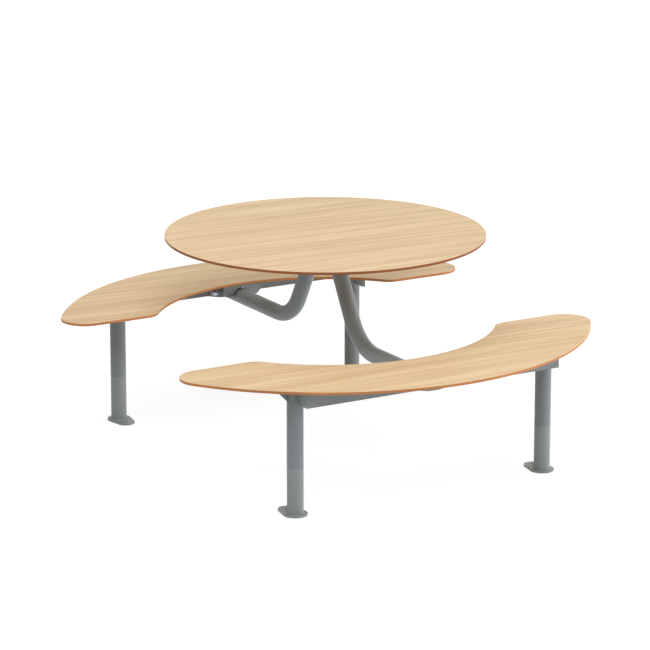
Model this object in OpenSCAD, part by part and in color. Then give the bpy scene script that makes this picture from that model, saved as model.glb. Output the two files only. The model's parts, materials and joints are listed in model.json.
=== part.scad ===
// Round table with two attached curved benches, fixed to the floor.
// Millimetres. The origin is on the floor under the middle of the table top, X runs along
// the benches and Y runs from the front bench to the rear bench.
// Every piece is drawn once, in the quarter where x and y are positive, and mirrored.

/* [Table top] */
// Diameter of the round table top
top_d = 1100; // [800:10:1140]
// Height of the table surface above the floor
top_h = 755; // [700:1:820]
// Thickness of the table top board
top_t = 10; // [9:1:25]
// Rounding of the top board's upper and lower rim
top_ease = 1.2; // [0.5:0.1:3]

/* [Benches] */
// Height of the seat surface above the floor
seat_h = 451; // [400:1:480]
// Thickness of the bench boards
bench_t = 10; // [9:1:25]
// Radius of the hollow inner edge, about the middle of the table
bench_inner_r = 587; // [575:1:600]
// Radius of the outer edge, about the middle of the table
bench_outer_r = 912; // [870:1:960]
// Distance from the table's centre line to the straight ends of a bench
bench_end_y = 348; // [300:1:380]
// Radius of the nose at each end of a bench
nose_r = 86; // [60:0.5:110]
// Radius of the shoulder between the straight end and the hollow edge
shoulder_r = 62; // [40:1:130]

/* [Rails] */
// Distance from the centre line to the outer face of a rail
rail_y = 715; // [690:1:740]
// Height of a rail's upright web
rail_h = 60; // [50:1:80]
// Width of a rail's top flange
flange_w = 50; // [35:1:51]
// Steel thickness of the rails
rail_t = 5; // [3:0.5:8]

/* [Legs] */
// Distance from the middle to a leg's axis, along the bench
leg_x = 482; // [400:1:520]
// Distance from the middle to a leg's axis, across the bench
leg_y = 630; // [620:1:640]
// Outer diameter of the leg tubes
leg_d = 55; // [40:1:60]
// Wall of the leg tubes
leg_wall = 2.5; // [1.5:0.5:4]
// Height of the seam between foot post and leg tube
seam_h = 162; // [100:1:220]
// Length of the spigot on the foot post, inside the leg tube
spigot_len = 80; // [40:1:150]
// Gap between spigot and leg tube, all round
spigot_gap = 0.3; // [0.1:0.1:1]
// Thickness of the cap plate on a leg
cap_t = 5; // [3:0.5:8]
// Reach of a cap plate past the leg's axis, towards the middle
cap_inner_reach = 45; // [36:1:60]
// Thickness of the fin plates
fin_t = 10; // [6:1:14]
// Reach of the inner fin past the leg's axis
fin_reach = 85; // [60:1:110]
// Reach of the gusset past the leg's side
gusset_reach = 49.5; // [30:0.5:60]
// Thickness of the gusset plate
gusset_t = 8; // [5:1:12]

/* [Feet] */
// Thickness of the foot plates
foot_t = 6; // [4:0.5:12]
// Radius of a foot plate round the leg
foot_r = 41; // [36:1:60]
// Radius of a foot plate's inner end
foot_tip_r = 31; // [18:1:34]
// Distance from the leg's axis to the fixing hole
foot_hole_y = 56; // [48:1:80]
// Diameter of the fixing hole in a foot plate
foot_hole_d = 11; // [8:0.5:14]

/* [Arms] */
// Outer diameter of the arm tubes
arm_d = 55; // [40:1:60]
// Wall of the arm tubes
arm_wall = 3; // [2:0.5:5]
// Depth of the arm's level run below the bench board, to the tube's axis
arm_drop = 42; // [38:1:60]
// Bend radius of an arm, at the tube's axis
arm_bend_r = 174; // [120:1:200]
// Lean of an arm's upper run from upright, in degrees
arm_lean = 29.4; // [20:0.1:36]
// Distance from the centre line to the arm's axis at its head plate
arm_head_y = 39.5; // [36:0.5:60]

/* [Arm fittings] */
// Thickness of the head plates under the table top
head_t = 6; // [4:0.5:10]
// Width of a head plate
head_w = 200; // [160:1:260]
// Length of a head plate, away from the centre line
head_len = 180; // [160:1:220]
// Gap between the two head plates
head_gap = 4; // [1:0.5:10]
// Thickness of the end plate between arm and rail
end_t = 6; // [4:0.5:10]
// Width of the end plate at its top
end_w = 144; // [130:1:180]
// Width of the end plate's lowest edge
end_low_w = 44; // [30:1:80]
// Reach of the saddle past the arm's axis on its slanted side, at the top
saddle_reach = 92; // [84:1:100]
// Reach of the saddle at the foot of its slanted side
saddle_low_reach = 77; // [60:1:82]
// Reach of the saddle on its upright side
saddle_short_reach = 72; // [68:1:82]
// Height of the saddle's upright plate
saddle_h = 40; // [30:1:44]
// Cut at the lower corners of the saddle's upright plate
saddle_cut = 13; // [4:1:16]
// Gap between the saddle's notch and the arm, above the tabs that hold the arm
saddle_slack = 5; // [1:0.5:8]
// Height of those tabs
saddle_tab = 4; // [3:0.5:8]
// Steel thickness of the saddle
saddle_t = 5; // [3:0.5:6]
// Distance from the centre line to the saddle's upright plate
saddle_inner_y = 595; // [589:1:605]
// Distance from the centre line to the end of the saddle's flange
saddle_outer_y = 645; // [635:1:655]

/* [Fasteners] */
// Distance from the arm's axis to a rail stud
stud_x = 53; // [45:1:56]
// Depth of the rail studs below the arm's axis
stud_drop = 4; // [0:1:10]
// Thread diameter of the rail studs
stud_d = 12; // [8:1:12]
// Length of a rail stud
stud_len = 30; // [28:1:34]
// Thickness of the stud's washer
washer_t = 2.5; // [1:0.5:3]
// Height of the stud's nut
nut_h = 10; // [6:0.5:11]
// Clearance of a stud in its hole, on the diameter
stud_play = 1; // [0.5:0.5:2]
// Thread diameter of the board screws
screw_d = 5; // [4:0.5:6]
// Depth of the screws in a board
screw_bite = 7; // [5:0.5:7.5]
// Height of a board screw's head
screw_head_h = 3.2; // [2.5:0.1:4]

/* [Hidden] */
$fn = 96;

// Colours of the finished pieces
wood_face = [0.88, 0.77, 0.62];
grey_paint = [0.50, 0.52, 0.52];
bright_zinc = [0.75, 0.76, 0.78];

// A little extra, so that cuts pass clean through
over = 1;

// Where a straight tube joins its bend: extra on both faces of its wall, and the lap
join_step = 0.2;
join_lap = 2;

// Heights that follow from the seat and the table top
board_z = seat_h - bench_t;
frame_z = board_z - cap_t;
rail_z = board_z - rail_h;
arm_z = board_z - arm_drop;
stud_z = arm_z - stud_drop;
underside_z = top_h - top_t;
head_z = underside_z - head_t;

// The fins end under the cap plate and under the rail's flange
fin_top = min(frame_z, board_z - rail_t);

// The arm's bend: where the leaning run meets it, and its centre
bend_top_z = arm_z + arm_bend_r * (1 - sin(arm_lean));
bend_top_y = arm_head_y + (head_z - bend_top_z) * tan(arm_lean);
bend_y = bend_top_y + arm_bend_r * cos(arm_lean);
bend_z = arm_z + arm_bend_r;

// Inner face of the rail's web, and of the end plate that stands against it
web_y = rail_y - rail_t;
end_y = web_y - end_t;

// Centres of the bench's nose and shoulder
nose_y = bench_end_y + nose_r;
nose_x = sqrt(pow(bench_outer_r - nose_r, 2) - pow(nose_y, 2));
shoulder_y = bench_end_y + shoulder_r;
shoulder_x = sqrt(pow(bench_inner_r + shoulder_r, 2) - pow(shoulder_y, 2));

// Half the rail's web, which ends against the fins, and half its flange, which covers them
web_half = leg_x - fin_t / 2;
flange_half = leg_x + fin_t / 2;
flange_y = rail_y - flange_w;

// Reach of the cap plate past the leg's axis, towards the bench's end
cap_outer_reach = leg_d / 2 + gusset_reach + cap_t;

// Screw sizes that follow from the thread
screw_hole_d = screw_d + 0.6;
screw_head_d = 2 * screw_d;
screw_play = 0.2;

// Screw places in the quarter where x and y are positive
head_row_x = head_w / 2 - 20;
head_rows_y = [head_gap / 2 + 22, (head_gap + head_len) / 2, head_len + head_gap / 2 - 22];
flange_row_y = flange_y + flange_w / 2 - 5;
flange_rows_x = [leg_x - 70, leg_x / 2 - 40];
saddle_row_y = (saddle_inner_y + saddle_t + saddle_outer_y) / 2;
saddle_rows_x = [saddle_short_reach - 12, saddle_short_reach - 36];

function bench_screw_places() = concat(
  [for (x = flange_rows_x) [x, flange_row_y]],
  [[leg_x - cap_inner_reach + 12, leg_y + 12], [leg_x + leg_d / 2 + 14, leg_y + 22]],
  [[leg_x - cap_inner_reach + 12, leg_y - 30], [leg_x + leg_d / 2 + 14, leg_y - 22]],
  [for (x = saddle_rows_x) [x, saddle_row_y]]
);
function head_screw_places() = [for (y = head_rows_y) [head_row_x, y]];

// Puts a piece drawn in the positive quarter into the quarter of the given signs
module quarter(sx, sy) {
  mirror([sx < 0 ? 1 : 0, 0, 0]) mirror([0, sy < 0 ? 1 : 0, 0]) children();
}

// Both sides of the bench at once
module both_sides() {
  children();
  mirror([1, 0, 0]) children();
}

// Outline of a wedge from a centre, between two directions in degrees
module wedge(x, y, from, to, reach) {
  polygon([
    [x, y],
    [x + reach * cos(from), y + reach * sin(from)],
    [x + 1.5 * reach * cos((from + to) / 2), y + 1.5 * reach * sin((from + to) / 2)],
    [x + reach * cos(to), y + reach * sin(to)]
  ]);
}

// What is cut off a corner so that an arc of the given radius is left
module corner_waste(x, y, r, from, to) {
  difference() {
    wedge(x, y, from, to, 3 * r);
    translate([x, y]) circle(r = r);
  }
}

// Outline of a bench: two arcs about the table's middle, straight ends, rounded corners
module bench_outline() {
  difference() {
    circle(r = bench_outer_r, $fn = 360);
    circle(r = bench_inner_r, $fn = 360);
    translate([-2 * bench_outer_r, bench_end_y - 4 * bench_outer_r])
      square([4 * bench_outer_r, 4 * bench_outer_r]);
    both_sides() {
      corner_waste(nose_x, nose_y, nose_r, -90, atan2(nose_y, nose_x));
      corner_waste(shoulder_x, shoulder_y, shoulder_r, atan2(shoulder_y, shoulder_x) + 180, 270);
    }
  }
}

// Blind hole under a board, for a screw of the given length in it
module pilot_hole(board_bottom) {
  translate([0, 0, board_bottom - over])
    cylinder(d = screw_d + screw_play, h = screw_bite + over + screw_play, $fn = 32);
}

// Pan head screw driven upwards through a plate into a board
module board_screw(board_bottom, plate) {
  translate([0, 0, board_bottom - plate - screw_head_h])
    cylinder(d = screw_head_d, h = screw_head_h, $fn = 32);
  translate([0, 0, board_bottom - plate])
    cylinder(d = screw_d, h = plate + screw_bite, $fn = 32);
}

module tabletop() {
  color(wood_face) difference() {
    translate([0, 0, underside_z]) rotate_extrude($fn = 360) polygon([
      [0, 0],
      [top_d / 2 - top_ease, 0],
      [top_d / 2, top_ease],
      [top_d / 2, top_t - top_ease],
      [top_d / 2 - top_ease, top_t],
      [0, top_t]
    ]);
    for (p = head_screw_places(), sx = [-1, 1], sy = [-1, 1])
      translate([sx * p[0], sy * p[1], 0]) pilot_hole(underside_z);
  }
}

module bench_board() {
  color(wood_face) difference() {
    translate([0, 0, board_z]) linear_extrude(bench_t) bench_outline();
    for (p = bench_screw_places(), sx = [-1, 1])
      translate([sx * p[0], p[1], 0]) pilot_hole(board_z);
  }
}

// Angle rail under a bench: upright web outside, flange inwards under the board
module bench_rail() {
  color(grey_paint) difference() {
    union() {
      translate([-web_half, web_y, rail_z]) cube([2 * web_half, rail_t, rail_h]);
      translate([-flange_half, flange_y, board_z - rail_t])
        cube([2 * flange_half, flange_w, rail_t]);
    }
    both_sides() for (x = flange_rows_x)
      translate([x, flange_row_y, board_z - rail_t - over])
        cylinder(d = screw_hole_d, h = rail_t + 2 * over);
  }
}

module leg_tube() {
  color(grey_paint) translate([leg_x, leg_y, seam_h]) difference() {
    cylinder(d = leg_d, h = frame_z - seam_h);
    translate([0, 0, -over]) cylinder(d = leg_d - 2 * leg_wall, h = frame_z - seam_h + 2 * over);
  }
}

// Flat plate welded on a leg, with the holes for the bench screws
module leg_cap() {
  color(grey_paint) difference() {
    translate([leg_x - cap_inner_reach, leg_y - fin_reach, frame_z])
      cube([cap_inner_reach + cap_outer_reach, flange_y - leg_y + fin_reach, cap_t]);
    for (p = bench_screw_places())
      if (p[0] > leg_x - cap_inner_reach && p[1] < flange_y)
        translate([p[0], p[1], frame_z - over]) cylinder(d = screw_hole_d, h = cap_t + 2 * over);
  }
}

// Upright plates across the bench that tie a leg to its rail and carry the board inwards
module fin(from_y, to_y) {
  color(grey_paint) difference() {
    translate([leg_x - fin_t / 2, from_y, rail_z]) cube([fin_t, to_y - from_y, fin_top - rail_z]);
    translate([leg_x, leg_y, rail_z - over]) cylinder(d = leg_d, h = rail_h + 2 * over);
  }
}
module outer_fin() { fin(leg_y, rail_y); }
module inner_fin() { fin(leg_y - fin_reach, leg_y); }

// Three-cornered plate under the cap plate, on the side of the bench's end
module gusset() {
  top_x = leg_x + leg_d / 2 + gusset_reach;
  low_z = frame_z - gusset_reach - leg_d / 2;
  color(grey_paint) difference() {
    translate([0, leg_y + gusset_t / 2, 0]) rotate([90, 0, 0]) linear_extrude(gusset_t)
      polygon([[leg_x, frame_z], [leg_x, low_z], [top_x, frame_z]]);
    translate([leg_x, leg_y, low_z - over]) cylinder(d = leg_d, h = frame_z - low_z + 2 * over);
  }
}

// Lower part of a leg, with a spigot that fits up into the leg tube
module foot_post() {
  spigot_d = leg_d - 2 * leg_wall - 2 * spigot_gap;
  bore_d = spigot_d - 2 * leg_wall;
  color(grey_paint) translate([leg_x, leg_y, foot_t]) difference() {
    union() {
      cylinder(d = leg_d, h = seam_h - foot_t);
      cylinder(d = spigot_d, h = seam_h - foot_t + spigot_len);
    }
    translate([0, 0, -over]) cylinder(d = bore_d, h = seam_h - foot_t + spigot_len + 2 * over);
  }
}

// Drop-shaped plate on the floor: round at the leg, narrower at the fixing hole
module foot_plate() {
  tip = foot_hole_y - 2;
  lean = asin((foot_r - foot_tip_r) / tip);
  color(grey_paint) translate([leg_x, leg_y, 0]) difference() {
    union() {
      cylinder(r = foot_r, h = foot_t);
      translate([0, -tip, 0]) cylinder(r = foot_tip_r, h = foot_t);
      linear_extrude(foot_t) polygon([
        [foot_r * cos(lean), -foot_r * sin(lean)],
        [foot_tip_r * cos(lean), -tip - foot_tip_r * sin(lean)],
        [-foot_tip_r * cos(lean), -tip - foot_tip_r * sin(lean)],
        [-foot_r * cos(lean), -foot_r * sin(lean)]
      ]);
    }
    translate([0, -foot_hole_y, -over]) cylinder(d = foot_hole_d, h = foot_t + 2 * over);
  }
}

// Straight tube of the arm, upwards. It laps over the end of the bend and is a little thicker
// on both faces of its wall, so that the two join cleanly.
module arm_run(length) {
  translate([0, 0, -join_lap]) difference() {
    cylinder(d = arm_d + 2 * join_step, h = length + join_lap);
    translate([0, 0, -over])
      cylinder(d = arm_d - 2 * arm_wall - 2 * join_step, h = length + join_lap + 2 * over);
  }
}

module arm_bend() {
  rotate_extrude(angle = 90 - arm_lean) translate([arm_bend_r, 0]) difference() {
    circle(d = arm_d);
    circle(d = arm_d - 2 * arm_wall);
  }
}

// Bent tube: level from the rail, up through the bend, then leaning to its head plate
module arm() {
  lean_len = (head_z - bend_top_z) / cos(arm_lean) + arm_d;
  color(grey_paint) difference() {
    union() {
      translate([0, bend_y, arm_z]) rotate([-90, 0, 0]) arm_run(end_y - bend_y);
      translate([0, bend_y, bend_z]) rotate([90, 0, 90]) rotate([0, 0, 180 + arm_lean]) arm_bend();
      translate([0, bend_top_y, bend_top_z]) rotate([arm_lean, 0, 0]) arm_run(lean_len);
    }
    translate([-arm_d, -4 * arm_d, head_z]) cube([2 * arm_d, 8 * arm_d, 4 * arm_d]);
  }
}

module arm_head_plate() {
  color(grey_paint) difference() {
    translate([-head_w / 2, head_gap / 2, head_z]) cube([head_w, head_len, head_t]);
    both_sides() for (p = head_screw_places())
      translate([p[0], p[1], head_z - over]) cylinder(d = screw_hole_d, h = head_t + 2 * over);
  }
}

// Plate welded on the arm's end, bolted flat against the rail's web
module arm_end_plate() {
  low_z = arm_z - arm_d / 2;
  color(grey_paint) difference() {
    translate([0, web_y, 0]) rotate([90, 0, 0]) linear_extrude(end_t) polygon([
      [-end_w / 2, board_z - rail_t],
      [-end_w / 2, rail_z],
      [-end_low_w / 2, low_z],
      [end_low_w / 2, low_z],
      [end_w / 2, rail_z],
      [end_w / 2, board_z - rail_t]
    ]);
    both_sides() translate([stud_x, end_y - over, stud_z]) rotate([-90, 0, 0])
      cylinder(d = stud_d + stud_play, h = end_t + 2 * over);
  }
}

// Angle plate over the arm: upright plate with a notch for the tube, flange under the board.
// Two short tabs at the foot of the notch hold the tube, which is clear of the rest of it.
module arm_saddle() {
  low_z = board_z - saddle_h;
  color(grey_paint) difference() {
    union() {
      translate([0, saddle_inner_y + saddle_t, 0]) rotate([90, 0, 0]) linear_extrude(saddle_t)
        polygon([
          [-saddle_short_reach, board_z],
          [-saddle_short_reach, low_z + saddle_cut],
          [-saddle_short_reach + saddle_cut, low_z],
          [saddle_low_reach - saddle_cut, low_z],
          [saddle_low_reach, low_z + saddle_cut],
          [saddle_reach, board_z]
        ]);
      translate([-saddle_short_reach, saddle_inner_y, board_z - saddle_t])
        cube([saddle_short_reach + saddle_reach, saddle_outer_y - saddle_inner_y, saddle_t]);
    }
    translate([0, saddle_inner_y - over, arm_z]) rotate([-90, 0, 0])
      cylinder(d = arm_d + 2 * join_step, h = saddle_t + 2 * over);
    intersection() {
      translate([0, saddle_inner_y - over, arm_z]) rotate([-90, 0, 0])
        cylinder(d = arm_d + 2 * saddle_slack, h = saddle_t + 2 * over);
      translate([-arm_d, saddle_inner_y - over, low_z + saddle_tab])
        cube([2 * arm_d, saddle_t + 2 * over, arm_d]);
    }
    both_sides() for (x = saddle_rows_x)
      translate([x, saddle_row_y, board_z - saddle_t - over])
        cylinder(d = screw_hole_d, h = saddle_t + 2 * over);
  }
}

// Studs welded on the rail's web, with a washer and a nut behind the end plate
module rail_studs() {
  color(bright_zinc) both_sides() translate([stud_x, web_y, stud_z]) rotate([90, 0, 0])
    cylinder(d = stud_d, h = stud_len);
}

module stud_washers() {
  color(bright_zinc) both_sides() translate([stud_x, end_y, stud_z]) rotate([90, 0, 0])
    difference() {
      cylinder(d = 2 * stud_d, h = washer_t);
      translate([0, 0, -over]) cylinder(d = stud_d + stud_play, h = washer_t + 2 * over);
    }
}

module stud_nuts() {
  color(bright_zinc) both_sides() translate([stud_x, end_y - washer_t, stud_z]) rotate([90, 0, 0])
    difference() {
      cylinder(d = 1.8 * stud_d, h = nut_h, $fn = 6);
      translate([0, 0, -over]) cylinder(d = stud_d, h = nut_h + 2 * over);
    }
}

module tabletop_screws() {
  color(bright_zinc) for (p = head_screw_places(), sx = [-1, 1], sy = [-1, 1])
    translate([sx * p[0], sy * p[1], 0]) board_screw(underside_z, head_t);
}

// Thickness of the plate that a bench screw goes through
function plate_under(p) = p[1] > flange_y ? rail_t : p[0] > leg_x - cap_inner_reach ? cap_t : saddle_t;

module bench_screws() {
  color(bright_zinc) both_sides() for (p = bench_screw_places())
    translate([p[0], p[1], 0]) board_screw(board_z, plate_under(p));
}

tabletop();
quarter(1, -1) bench_board();  // bench_board_front
quarter(1, 1) bench_board();  // bench_board_rear
quarter(1, -1) bench_rail();  // bench_rail_front
quarter(1, 1) bench_rail();  // bench_rail_rear

quarter(-1, -1) leg_tube();  // leg_tube_front_left
quarter(1, -1) leg_tube();  // leg_tube_front_right
quarter(-1, 1) leg_tube();  // leg_tube_rear_left
quarter(1, 1) leg_tube();  // leg_tube_rear_right

quarter(-1, -1) leg_cap();  // leg_cap_front_left
quarter(1, -1) leg_cap();  // leg_cap_front_right
quarter(-1, 1) leg_cap();  // leg_cap_rear_left
quarter(1, 1) leg_cap();  // leg_cap_rear_right

quarter(-1, -1) outer_fin();  // outer_fin_front_left
quarter(1, -1) outer_fin();  // outer_fin_front_right
quarter(-1, 1) outer_fin();  // outer_fin_rear_left
quarter(1, 1) outer_fin();  // outer_fin_rear_right

quarter(-1, -1) inner_fin();  // inner_fin_front_left
quarter(1, -1) inner_fin();  // inner_fin_front_right
quarter(-1, 1) inner_fin();  // inner_fin_rear_left
quarter(1, 1) inner_fin();  // inner_fin_rear_right

quarter(-1, -1) gusset();  // gusset_front_left
quarter(1, -1) gusset();  // gusset_front_right
quarter(-1, 1) gusset();  // gusset_rear_left
quarter(1, 1) gusset();  // gusset_rear_right

quarter(-1, -1) foot_post();  // foot_post_front_left
quarter(1, -1) foot_post();  // foot_post_front_right
quarter(-1, 1) foot_post();  // foot_post_rear_left
quarter(1, 1) foot_post();  // foot_post_rear_right

quarter(-1, -1) foot_plate();  // foot_plate_front_left
quarter(1, -1) foot_plate();  // foot_plate_front_right
quarter(-1, 1) foot_plate();  // foot_plate_rear_left
quarter(1, 1) foot_plate();  // foot_plate_rear_right

quarter(1, -1) arm();  // arm_front
quarter(1, 1) arm();  // arm_rear
quarter(1, -1) arm_head_plate();  // arm_head_plate_front
quarter(1, 1) arm_head_plate();  // arm_head_plate_rear
quarter(1, -1) arm_end_plate();  // arm_end_plate_front
quarter(1, 1) arm_end_plate();  // arm_end_plate_rear
quarter(1, -1) arm_saddle();  // arm_saddle_front
quarter(1, 1) arm_saddle();  // arm_saddle_rear

quarter(1, -1) rail_studs();  // rail_studs_front
quarter(1, 1) rail_studs();  // rail_studs_rear
quarter(1, -1) stud_washers();  // stud_washers_front
quarter(1, 1) stud_washers();  // stud_washers_rear
quarter(1, -1) stud_nuts();  // stud_nuts_front
quarter(1, 1) stud_nuts();  // stud_nuts_rear

tabletop_screws();
quarter(1, -1) bench_screws();  // bench_screws_front
quarter(1, 1) bench_screws();  // bench_screws_rear
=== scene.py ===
# A round table with two attached benches: boards with a wood-look face on a grey painted steel
# frame. Everything is in metres, in the frame of the imported model: the origin is on the floor
# under the middle of the table, X runs along the benches and Y from the front bench to the rear.

# %% [markdown]
# The steel frame is already there as a finished model, so the first step is to load it. Every
# later piece takes its place and size from that model, which keeps the looks and the
# construction together.

import json
import math

import bmesh
import bpy
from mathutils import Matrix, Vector

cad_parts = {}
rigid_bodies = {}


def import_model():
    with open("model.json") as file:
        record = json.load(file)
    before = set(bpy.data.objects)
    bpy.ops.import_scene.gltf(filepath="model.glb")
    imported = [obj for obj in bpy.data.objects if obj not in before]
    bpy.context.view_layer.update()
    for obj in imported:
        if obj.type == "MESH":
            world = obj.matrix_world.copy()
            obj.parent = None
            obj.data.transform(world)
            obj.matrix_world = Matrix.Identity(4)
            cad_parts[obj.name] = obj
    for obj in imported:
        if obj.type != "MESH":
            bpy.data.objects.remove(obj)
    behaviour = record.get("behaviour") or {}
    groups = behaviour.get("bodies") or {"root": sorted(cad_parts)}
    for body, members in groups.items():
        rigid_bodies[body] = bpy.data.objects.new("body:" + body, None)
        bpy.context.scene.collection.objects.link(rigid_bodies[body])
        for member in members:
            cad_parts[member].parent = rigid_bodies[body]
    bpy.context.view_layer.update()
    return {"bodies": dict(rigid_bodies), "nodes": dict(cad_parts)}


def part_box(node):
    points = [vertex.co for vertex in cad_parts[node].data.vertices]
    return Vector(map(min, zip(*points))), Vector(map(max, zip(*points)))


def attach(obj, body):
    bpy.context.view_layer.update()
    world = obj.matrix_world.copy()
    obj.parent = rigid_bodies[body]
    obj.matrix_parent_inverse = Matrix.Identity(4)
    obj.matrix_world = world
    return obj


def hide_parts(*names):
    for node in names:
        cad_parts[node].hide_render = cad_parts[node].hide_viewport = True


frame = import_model()
nodes = frame["nodes"]
print("pieces in the frame:", len(nodes))

# %% [markdown]
# The camera stands far off with a long lens, so the ellipse of the table top is nearly regular
# and the four legs are almost parallel. Its place was worked out from the real sizes of the
# object: a floor plane with four feet and two levels of boards leave only one answer.

# %% Camera
camera_place = Vector((-5.894, -10.075, 3.567))
camera_azimuth = math.radians(-30.33)
camera_pitch = math.radians(15.05)
camera_lens = 194.29
sensor_width = 36
sideways_shift = -0.0007

camera_data = bpy.data.cameras.new("camera")
camera_data.sensor_width = sensor_width
camera_data.lens = camera_lens
camera_data.shift_x = sideways_shift
camera = bpy.data.objects.new("camera", camera_data)
bpy.context.scene.collection.objects.link(camera)
camera.location = camera_place
back = Vector((
    math.sin(camera_azimuth) * math.cos(camera_pitch),
    -math.cos(camera_azimuth) * math.cos(camera_pitch),
    math.sin(camera_pitch),
))
camera.rotation_mode = "QUATERNION"
camera.rotation_quaternion = (-back).to_track_quat("-Z", "Y")
bpy.context.scene.camera = camera
print("camera at", tuple(round(c, 3) for c in camera_place), "lens", camera_lens)

# %% [markdown]
# Colours are easiest to name as a picker shows them, from 0 to 255, but shaders count in linear
# light. One small function turns the first into the second.

# %% Colours of the object
def picked(red, green, blue):
    """Linear colour, with full opacity, of a colour given as a picker shows it."""
    def linear(value):
        share = value / 255
        return share / 12.92 if share <= 0.04045 else ((share + 0.055) / 1.055) ** 2.4
    return (linear(red), linear(green), linear(blue), 1.0)


face_colour = picked(228, 199, 158)
face_dark = picked(210, 177, 133)
face_light = picked(239, 212, 172)
pore_colour = picked(188, 152, 110)
top_edge = picked(157, 99, 61)
top_edge_dark = picked(127, 75, 44)
bench_edge = picked(206, 142, 91)
bench_edge_dark = picked(168, 109, 66)
# Pale tones of the eased upper edge: a painted highlight, the light line that the rounded edge
# catches.
edge_highlight = picked(240, 210, 168)
edge_highlight_dark = picked(226, 188, 142)
paint_colour = picked(140, 147, 150)
paint_dark = picked(130, 137, 140)
# The feet's lighter tones are painted light: the brighter light that reaches the low parts near the
# floor.
lit_foot_paint = picked(150, 157, 158)
lit_foot_paint_dark = picked(140, 147, 148)
zinc_colour = picked(205, 208, 214)
zinc_dark = picked(168, 172, 180)
print("face of the boards, linear:", [round(c, 3) for c in face_colour[:3]])

# %% [markdown]
# Materials are built from nodes. A few helpers keep that readable: one makes an empty material,
# one adds a node, and the others make the patterns that all finishes here are mixed from. All
# of them read Object coordinates, which are the same as the model's own, because every piece
# has its place in its mesh.

# %% Helpers for materials
def blank_material(name):
    """A new material, its node tree and its shader."""
    material = bpy.data.materials.new(name)
    material.use_nodes = True
    shader = material.node_tree.nodes["Principled BSDF"]
    return material, material.node_tree, shader


def add_node(tree, kind, **settings):
    """A new node of a kind, with its settings."""
    node = tree.nodes.new(kind)
    for key, value in settings.items():
        setattr(node, key, value)
    return node


def speckle(tree, size, place=(0, 0, 0), turn=0.0, detail=2.0, rough=0.5, swirl=0.0):
    """Soft noise with patches of a size along X, Y and Z in metres, turned about Z. 0 to 1."""
    coordinates = add_node(tree, "ShaderNodeTexCoord")
    mapping = add_node(tree, "ShaderNodeMapping", vector_type="TEXTURE")
    mapping.inputs["Location"].default_value = place
    mapping.inputs["Rotation"].default_value = (0, 0, turn)
    mapping.inputs["Scale"].default_value = size
    noise = add_node(tree, "ShaderNodeTexNoise")
    noise.inputs["Scale"].default_value = 1.0
    noise.inputs["Detail"].default_value = detail
    noise.inputs["Roughness"].default_value = rough
    noise.inputs["Distortion"].default_value = swirl
    tree.links.new(coordinates.outputs["Object"], mapping.inputs["Vector"])
    tree.links.new(mapping.outputs["Vector"], noise.inputs["Vector"])
    return noise.outputs["Fac"]


def spread(tree, value, low, high, start=0.0, end=1.0):
    """Maps the part of a value from low to high onto start to end."""
    node = add_node(tree, "ShaderNodeMapRange")
    node.inputs["From Min"].default_value = low
    node.inputs["From Max"].default_value = high
    node.inputs["To Min"].default_value = start
    node.inputs["To Max"].default_value = end
    tree.links.new(value, node.inputs["Value"])
    return node.outputs["Result"]


def blend_colours(tree, share, first, second):
    """Mixes two colours, each a colour or an output, by a share from 0 to 1."""
    mix = add_node(tree, "ShaderNodeMix", data_type="RGBA")
    sockets = {socket.identifier: socket for socket in mix.inputs}
    tree.links.new(share, sockets["Factor_Float"])
    for identifier, colour in (("A_Color", first), ("B_Color", second)):
        if isinstance(colour, tuple):
            sockets[identifier].default_value = colour
        else:
            tree.links.new(colour, sockets[identifier])
    return next(s for s in mix.outputs if s.identifier == "Result_Color")


def add_bump(tree, shader, height, depth, strength=1.0):
    """Gives a shader a bump from a pattern, as deep as depth in metres."""
    bump = add_node(tree, "ShaderNodeBump")
    bump.inputs["Strength"].default_value = strength
    bump.inputs["Distance"].default_value = depth
    tree.links.new(height, bump.inputs["Height"])
    tree.links.new(bump.outputs["Normal"], shader.inputs["Normal"])


print("helpers for materials are ready")

# %% [markdown]
# The boards carry a decor laminate that shows pale, straight-grained wood. Such a print has
# three layers: broad soft bands along the grain, thin light and dark streaks, and short fine
# pores. Each is noise that is drawn out nearly along X, where the grain of all three boards
# runs. Each board takes its own stretch of the pattern and its own small turn, because no two
# are cut from the same place. A pattern counts from the first limit of its noise to the second,
# so limits that fall pick out the dark side of it.

# %% Laminate with straight grain
band_size = (0.9, 0.058, 0.058)
streak_size = (0.65, 0.016, 0.016)
fibre_size = (0.15, 0.0017, 0.0017)
pore_size = (0.022, 0.0011, 0.0011)
least_band = 0.3
streak_strength = 0.75
fine_strength = 0.45
face_gloss = 0.10
fibre_depth = 0.00006


def grained_face(name, place, degrees):
    """A laminate. place picks its stretch of the pattern and degrees its turn on the board."""
    material, tree, shader = blank_material(name)
    turn = math.radians(degrees)
    bands = speckle(tree, band_size, place, turn, detail=3.0, rough=0.55, swirl=0.3)
    streaks = speckle(tree, streak_size, place, turn, detail=2.0, swirl=0.15)
    fibres = speckle(tree, fibre_size, place, turn, detail=2.0, rough=0.6)
    pores = speckle(tree, pore_size, place, turn, detail=1.0)
    tone = spread(tree, bands, 0.38, 0.60, least_band, 1.0)
    colour = blend_colours(tree, tone, face_dark, face_colour)
    for pattern, low, high, strength, tint in (
        (streaks, 0.52, 0.66, streak_strength, face_light),
        (streaks, 0.47, 0.34, streak_strength, face_dark),
        (fibres, 0.50, 0.72, fine_strength, face_light),
        (pores, 0.62, 0.74, fine_strength, pore_colour),
    ):
        share = spread(tree, pattern, low, high, 0.0, strength)
        colour = blend_colours(tree, share, colour, tint)
    tree.links.new(colour, shader.inputs["Base Color"])
    tree.links.new(spread(tree, streaks, 0.3, 0.7, 0.40, 0.48), shader.inputs["Roughness"])
    shader.inputs["Specular IOR Level"].default_value = face_gloss
    add_bump(tree, shader, fibres, fibre_depth, 0.5)
    return material


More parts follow.
